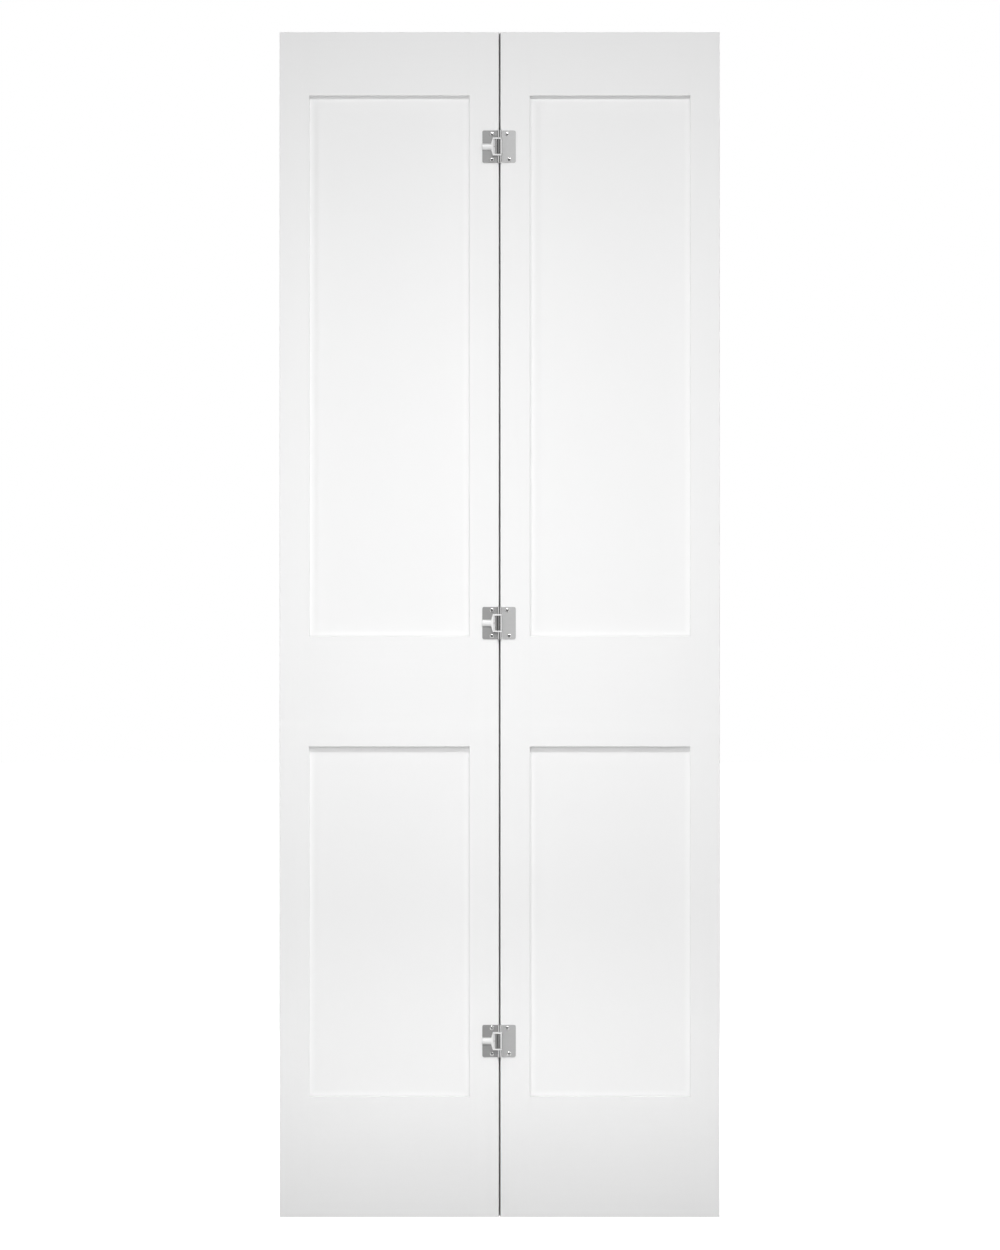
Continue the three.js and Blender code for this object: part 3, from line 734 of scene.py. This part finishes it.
def cross_recess():
    """A tapered cross that is cut from the crown of a head. Its wide end is up."""
    reach, half = RECESS_REACH, RECESS_HALF_WIDTH
    outline = []
    for arm in range(RECESS_ARMS):
        turn = Matrix.Rotation(2 * math.pi * arm / RECESS_ARMS, 2)
        outline += [turn @ Vector(point) for point in ((reach, -half), (reach, half), (half, half))]
    shape = bmesh.new()
    floor, mouth = (
        [shape.verts.new((point.x * share, point.y * share, height)) for point in outline]
        for height, share in ((-RECESS_DEPTH, RECESS_FLOOR_SHARE), (SCREW_HEAD_RISE, RECESS_MOUTH_SHARE))
    )
    for i in range(len(outline)):
        shape.faces.new((floor[i - 1], floor[i], mouth[i], mouth[i - 1]))
    shape.faces.new(mouth)
    shape.faces.new(floor[::-1])
    bmesh.ops.recalc_face_normals(shape, faces=shape.faces)
    mesh = bpy.data.meshes.new("cross_recess")
    shape.to_mesh(mesh)
    shape.free()
    return mesh


def screw_blank(shank_length):
    """One screw along Y, with the crown of its head at the origin and its point behind."""
    rim = -SCREW_HEAD_RISE
    under = rim - SCREW_HEAD_RIM
    tip = under - shank_length
    profile = [(0, tip), (SCREW_SHANK_RADIUS, tip + SCREW_POINT), (SCREW_SHANK_RADIUS, under)]
    profile += [(SCREW_HEAD_RADIUS, under)]
    profile += dome(SCREW_HEAD_RADIUS, SCREW_HEAD_RISE, rim, steps=8)
    blank = put_in_scene("screw_blank", turned("screw_blank", profile, (0, 0, 0)))
    cutter = put_in_scene("cross_recess", cross_recess())
    cut = blank.modifiers.new("recess", "BOOLEAN")
    cut.operation = "DIFFERENCE"
    cut.object = cutter
    cut.solver = "EXACT"
    result = bpy.data.meshes.new_from_object(blank.evaluated_get(bpy.context.evaluated_depsgraph_get()))
    bpy.data.objects.remove(blank)
    bpy.data.objects.remove(cutter)
    result.transform(Matrix.Rotation(math.pi / 2, 4, "X"))
    result.shade_smooth()
    result.set_sharp_from_angle(angle=SMOOTH_ANGLE)
    return result


def driven_screws_group():
    """Sets one screw on each point, turned about its own axis by a random angle."""
    group, given = node_group(
        "driven_screws",
        {"Geometry": "Geometry", "Screw": "Object", "Seed": "Int", "Material": "Material"},
        {"Geometry": "Geometry"},
        "GeometryNodeTree",
    )
    blank = add_node(group, "GeometryNodeObjectInfo", {"Object": given["Screw"]}).outputs["Geometry"]
    any_turn = {"Max": 2 * math.pi / RECESS_ARMS, "Seed": given["Seed"]}
    angle = add_node(group, "FunctionNodeRandomValue", any_turn, data_type="FLOAT").outputs["Value"]
    turn = add_node(group, "ShaderNodeCombineXYZ", {"Y": angle}).outputs["Vector"]
    screws = {"Points": given["Geometry"], "Instance": blank, "Rotation": turn}
    driven = add_node(group, "GeometryNodeInstanceOnPoints", screws).outputs["Instances"]
    end_tree(group, driven, given["Material"])
    return group


driven_screws = driven_screws_group()

for seed, leaf in enumerate(LEAVES, FIRST_SEED):
    nodes = [f"{hinge}_hinge_{leaf}_{level}_screw" for hinge in HINGES for level in ("upper", "lower")]
    boxes = [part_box(node) for node in nodes]
    crowns = [((low.x + high.x) / 2, low.y, (low.z + high.z) / 2) for low, high in boxes]
    places = bpy.data.meshes.new("screw_places")
    places.from_pydata(crowns, [], [])
    low, high = boxes[0]
    blank = put_in_scene("screw", screw_blank(high.y - low.y - SCREW_HEAD_RIM - SCREW_HEAD_RISE))
    values = {"Screw": blank, "Seed": seed, "Material": screw_steel}
    mesh = baked(f"{leaf}_hinge_screws", driven_screws, values, places)
    bpy.data.objects.remove(blank)
    add_piece(mesh.name, mesh, screw_steel, leaf, nodes)


# Camera
# A long lens straight in front of the hinge side, at half the door's height. It stands almost in line with
# the gap between the leaves, so the gap is seen head on.

CAMERA_DISTANCE = 9.0
FRAME_HEIGHT = 2.1165
VIEW_ACROSS = 0.3541
VIEW_HEIGHT = 1.0027
SENSOR_MM = 36.0
FARTHEST = 100.0

camera_data = bpy.data.cameras.new("camera")
camera_data.sensor_width = SENSOR_MM
camera_data.lens = SENSOR_MM * CAMERA_DISTANCE / FRAME_HEIGHT
camera_data.clip_end = FARTHEST
camera = put_in_scene("camera", camera_data)
camera.location = (VIEW_ACROSS, -face_half - CAMERA_DISTANCE, VIEW_HEIGHT)
camera.rotation_euler = (math.pi / 2, 0, 0)
bpy.context.scene.camera = camera


# Studio
# A white floor just below the hanging door and a white surround. Two high lamps stand in front, three low
# broad ones even out the front, one stands at each side and one lights the back.

FLOOR_DROP = 0.012
FLOOR_RADIUS = 30.0
FLOOR_SIDES = 64
FLOOR_GLOW = 0.885
AMBIENT = 0.225
FRONT_IN_METAL = 0.1
FRONT_EDGE = math.cos(math.radians(16))
SIDES_FROM = math.cos(math.radians(46))
floor_z = foot - FLOOR_DROP


def front_in_metal_group():
    """How bright the studio looks in metal, by the direction from the door: darker towards the front."""
    group, given = node_group("front_in_metal", {"Direction": "Vector"}, {"Level": "Float"})
    back = add_node(group, "ShaderNodeSeparateXYZ", {"Vector": given["Direction"]}).outputs["Y"]
    edges, levels = (-FRONT_EDGE, -SIDES_FROM), (FRONT_IN_METAL, 1.0)
    level = ranged(group, back, edges, levels, interpolation_type="SMOOTHSTEP")
    add_node(group, "NodeGroupOutput", {"Level": level})
    return group


front_in_metal = front_in_metal_group()


def level_in_metal(tree, direction):
    inputs = {"Direction": direction}
    return add_node(tree, "ShaderNodeGroup", inputs, node_tree=front_in_metal).outputs["Level"]


def white_floor():
    """A pale floor that looks white to the camera, darker in front in metal, and still takes a shadow."""
    material, tree, shader, place = surface_material("white_floor")
    set_inputs(tree, shader, {"Base Color": grey(0.55), "Roughness": 0.9, "Specular IOR Level": 0.1})
    from_door = vector_result(tree, "SUBTRACT", place, (joint_x, 0, floor_z))
    in_metal = level_in_metal(tree, vector_result(tree, "NORMALIZE", from_door))
    rays = add_node(tree, "ShaderNodeLightPath").outputs
    seen = calculate(tree, "MULTIPLY", rays["Is Glossy Ray"], in_metal)
    for straight in ("Is Camera Ray", "Is Transmission Ray"):
        seen = calculate(tree, "ADD", seen, rays[straight], use_clamp=True)
    glow = add_node(tree, "ShaderNodeEmission", {"Strength": calculate(tree, "MULTIPLY", seen, FLOOR_GLOW)})
    total = add_node(tree, "ShaderNodeAddShader", {0: shader.outputs["BSDF"], 1: glow.outputs["Emission"]})
    set_inputs(tree, tree.nodes["Material Output"], {"Surface": total.outputs["Shader"]})
    return material


def white_surround():
    """A white surround that lights the door at the ambient level. Metal sees it darker towards the front."""
    world = bpy.data.worlds.new("surround")
    world.use_nodes = True
    tree = world.node_tree
    direction = add_node(tree, "ShaderNodeTexCoord").outputs["Generated"]
    rays = add_node(tree, "ShaderNodeLightPath").outputs
    level = mixed(tree, rays["Is Glossy Ray"], AMBIENT, level_in_metal(tree, direction))
    straight = calculate(tree, "ADD", rays["Is Camera Ray"], rays["Is Transmission Ray"], use_clamp=True)
    strength = mixed(tree, straight, level, 1.0)
    set_inputs(tree, tree.nodes["Background"], {"Color": grey(1), "Strength": strength})
    return world


floor_shape = bmesh.new()
bmesh.ops.create_circle(floor_shape, cap_ends=True, radius=FLOOR_RADIUS, segments=FLOOR_SIDES)
floor_mesh = bpy.data.meshes.new("floor")
floor_shape.to_mesh(floor_mesh)
floor_shape.free()
floor_mesh.transform(Matrix.Translation((0, 0, floor_z)))
floor_mesh.materials.append(white_floor())
floor = put_in_scene("floor", floor_mesh)

bpy.context.scene.world = white_surround()

# Each lamp: name, place, aim, width, height, power in watts, spread in degrees, and whether metal shows it.
LAMPS = (
    ("high_front", (0.45, -2.45, 3.0), (0.42, 0, 0.5), 0.5, 0.35, 7.1, 85, True),
    ("high_right", (1.6, -2.3, 2.9), (0.42, 0, 0.6), 0.5, 0.35, 3.6, 100, True),
    ("facing", (0.17, -1.5, 1.2), (0.17, 0, 1.2), 0.9, 0.9, 8.2, 180, False),
    ("low_front", (0.33, -1.5, 0.7), (0.33, 0, 0.7), 0.9, 0.5, 4.0, 180, False),
    ("near_floor", (0.36, -0.8, 0.28), (0.36, 0, 0.24), 0.9, 0.1, 0.14, 45, False),
    ("left_side", (-1.9, -1.3, 2.2), (0.36, 0, 1.1), 0.5, 1.2, 9.0, 180, False),
    ("right_side", (2.4, -1.3, 2.2), (0.36, 0, 1.1), 0.5, 1.2, 4.2, 180, False),
    ("behind", (0.8, 3.5, 2.4), (0.36, 0, 1.0), 2.0, 1.5, 110, 180, True),
)

for name, place, aim, width, height, power, spread, in_metal in LAMPS:
    data = bpy.data.lights.new(name, "AREA")
    data.shape = "RECTANGLE"
    data.size = width
    data.size_y = height
    data.energy = power
    data.spread = math.radians(spread)
    lamp = put_in_scene(name, data)
    lamp.location = place
    lamp.rotation_euler = (Vector(aim) - Vector(place)).to_track_quat("-Z", "Y").to_euler()
    lamp.visible_camera = False
    lamp.visible_glossy = in_metal

bpy.context.scene.view_settings.view_transform = "Standard"
